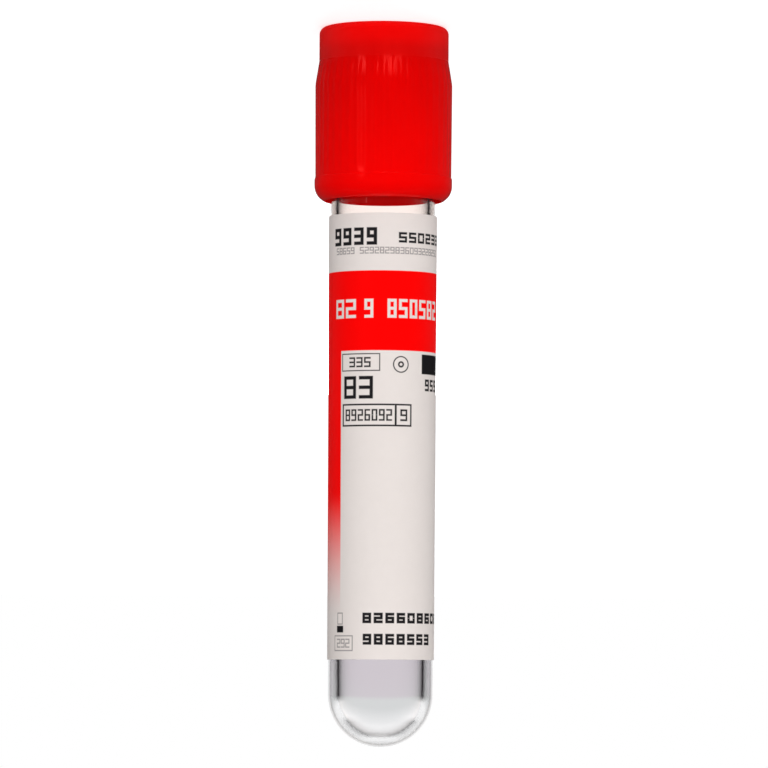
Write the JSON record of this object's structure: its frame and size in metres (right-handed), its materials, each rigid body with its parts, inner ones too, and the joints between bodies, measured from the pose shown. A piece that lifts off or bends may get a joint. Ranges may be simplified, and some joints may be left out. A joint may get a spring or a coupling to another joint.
{
  "type": "blood collection tube",
  "caption": "Capped round-bottom sample tube for drawing blood, with a wrap-round label, a fluted pull-off cap and a rubber stopper.",
  "frame": {"origin": "centre of the cap's flat top face, which the closed tube stands on upside down", "axes": "+Z along the tube's axis, from the cap towards the round bottom; -Y out of the front of the label; +X towards the left edge of the label as it is read with the cap at the top"},
  "size_m": [0.0166, 0.0166, 0.0865],
  "materials": {
    "clear_plastic": "clear, moulded smooth",
    "label_paper": "coated label paper with printed fields of red and black",
    "cap_plastic": "moulded, semi-gloss",
    "stopper_rubber": "matt moulded rubber"
  },
  "bodies": {
    "closure": {"cap": "cap_plastic", "stopper": "stopper_rubber"},
    "tube": {"tube": "clear_plastic", "label": "label_paper"}
  },
  "joints": [
    {"name": "tube_slide", "type": "slide", "parent": "closure", "child": "tube", "axis": [0, 0, 1], "range_m": [0, 0.02]}
  ]
}
